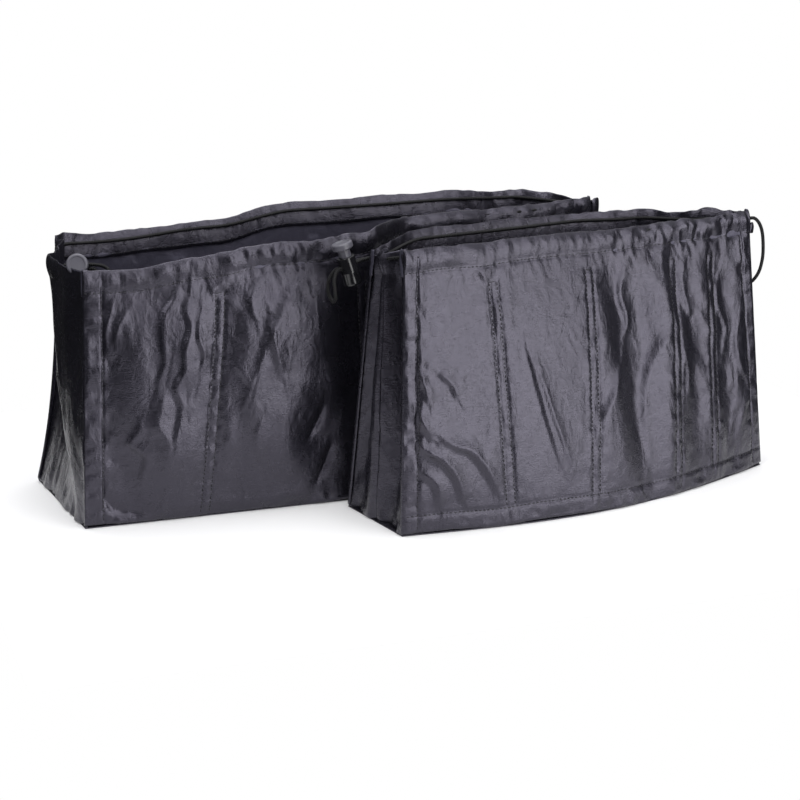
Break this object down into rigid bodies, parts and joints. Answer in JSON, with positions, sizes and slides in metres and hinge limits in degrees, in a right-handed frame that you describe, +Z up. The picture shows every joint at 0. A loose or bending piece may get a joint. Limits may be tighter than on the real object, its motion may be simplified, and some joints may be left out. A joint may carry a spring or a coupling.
{
  "type": "purse organizer insert",
  "caption": "Pair of soft nylon handbag inserts, large and small, with pocket rows inside their walls, folded ends, a drawcord in the rim hem and a sprung cord lock on each.",
  "frame": {"origin": "centre of the large insert's base, on the surface that it stands on", "axes": "+Z up; +X along the large insert from its open end to its drawn end; +Y from the small insert in front to the large one's back wall"},
  "size_m": [0.4133, 0.1635, 0.1568],
  "materials": {
    "shell_nylon": "semi-gloss woven nylon",
    "pocket_nylon": "semi-gloss woven nylon",
    "cord": "matte braided cord",
    "lock_plastic": "gloss",
    "button_plastic": "satin",
    "spring_steel": "bright wire"
  },
  "bodies": {
    "large_base": {"large_base_panel": "shell_nylon", "large_open_end_gusset": "shell_nylon", "large_open_end_hem": "shell_nylon", "large_drawn_end_gusset": "shell_nylon", "large_drawn_end_hem": "shell_nylon", "large_front_wall_drawn_end": "shell_nylon", "large_front_pockets_drawn_end": "pocket_nylon", "large_front_hem_drawn_end": "shell_nylon", "large_back_wall_drawn_end": "shell_nylon", "large_back_pockets_drawn_end": "pocket_nylon", "large_back_hem_drawn_end": "shell_nylon", "large_drawcord": "cord"},
    "large_front_wall": {"large_front_wall_open_end": "shell_nylon", "large_front_pockets_open_end": "pocket_nylon", "large_front_hem_open_end": "shell_nylon"},
    "large_back_wall": {"large_back_wall_open_end": "shell_nylon", "large_back_pockets_open_end": "pocket_nylon", "large_back_hem_open_end": "shell_nylon"},
    "large_lock": {"large_lock_barrel": "lock_plastic", "large_lock_spring": "spring_steel", "large_cord_tail": "cord"},
    "large_button": {"large_lock_plunger": "button_plastic"},
    "small_base": {"small_base_panel": "shell_nylon", "small_open_end_gusset": "shell_nylon", "small_open_end_hem": "shell_nylon", "small_drawn_end_gusset": "shell_nylon", "small_drawn_end_hem": "shell_nylon", "small_front_wall_drawn_end": "shell_nylon", "small_front_pockets_drawn_end": "pocket_nylon", "small_front_hem_drawn_end": "shell_nylon", "small_back_wall_drawn_end": "shell_nylon", "small_back_pockets_drawn_end": "pocket_nylon", "small_back_hem_drawn_end": "shell_nylon", "small_drawcord_front": "cord", "small_drawcord_back": "cord", "small_slack_loop": "cord"},
    "small_front_wall": {"small_front_wall_open_end": "shell_nylon", "small_front_pockets_open_end": "pocket_nylon", "small_front_hem_open_end": "shell_nylon"},
    "small_back_wall": {"small_back_wall_open_end": "shell_nylon", "small_back_pockets_open_end": "pocket_nylon", "small_back_hem_open_end": "shell_nylon"},
    "small_lock": {"small_lock_barrel": "lock_plastic", "small_lock_spring": "spring_steel", "small_cord_tail": "cord"},
    "small_button": {"small_lock_plunger": "button_plastic"}
  },
  "joints": [
    {"name": "large_front_wall_fold", "type": "hinge", "parent": "large_base", "child": "large_front_wall", "pos_m": [0, -0.04755, 0.00105], "axis": [-1, 0, 0], "range_deg": [0, 7], "deforming": ["large_open_end_gusset", "large_open_end_hem", "large_drawcord"]},
    {"name": "large_back_wall_fold", "type": "hinge", "parent": "large_base", "child": "large_back_wall", "pos_m": [0, 0.04755, 0.00105], "axis": [1, 0, 0], "range_deg": [0, 7], "deforming": ["large_open_end_gusset", "large_open_end_hem", "large_drawcord"]},
    {"name": "large_lock_slide", "type": "slide", "parent": "large_front_wall", "child": "large_lock", "axis": [0.9547, -0.2974, -0.0012], "range_m": [-0.003, 0.012], "deforming": ["large_drawcord"]},
    {"name": "large_button_press", "type": "slide", "parent": "large_lock", "child": "large_button", "axis": [0.2831, 0.9099, -0.3033], "range_m": [0, 0.004], "stiffness_N_per_m": 800, "springref_m": -0.003, "deforming": ["large_lock_spring"]},
    {"name": "small_front_wall_fold", "type": "hinge", "parent": "small_base", "child": "small_front_wall", "pos_m": [0.11574, -0.08451, 0.00105], "axis": [-0.9796, -0.2011, 0], "range_deg": [0, 5], "deforming": ["small_open_end_gusset", "small_open_end_hem", "small_drawcord_front", "small_drawcord_back"]},
    {"name": "small_back_wall_fold", "type": "hinge", "parent": "small_base", "child": "small_back_wall", "pos_m": [0.10506, -0.03249, 0.00105], "axis": [0.9796, 0.2011, 0], "range_deg": [0, 5], "deforming": ["small_open_end_gusset", "small_open_end_hem", "small_drawcord_front", "small_drawcord_back"]},
    {"name": "small_lock_slide", "type": "slide", "parent": "small_back_wall", "child": "small_lock", "axis": [-0.9455, -0.1941, -0.2614], "range_m": [-0.003, 0.012], "deforming": ["small_drawcord_front", "small_drawcord_back"]},
    {"name": "small_button_press", "type": "slide", "parent": "small_lock", "child": "small_button", "axis": [0.2732, -0.0359, -0.9613], "range_m": [0, 0.004], "stiffness_N_per_m": 800, "springref_m": -0.003, "deforming": ["small_lock_spring"]},
    {"name": "small_insert_lift", "type": "slide", "parent": "large_base", "child": "small_base", "axis": [0, 0, 1], "range_m": [0, 0.2]}
  ],
  "couplings": [
    {"joint": "large_back_wall_fold", "follows": "large_front_wall_fold", "ratio": 1},
    {"joint": "small_back_wall_fold", "follows": "small_front_wall_fold", "ratio": 1}
  ]
}
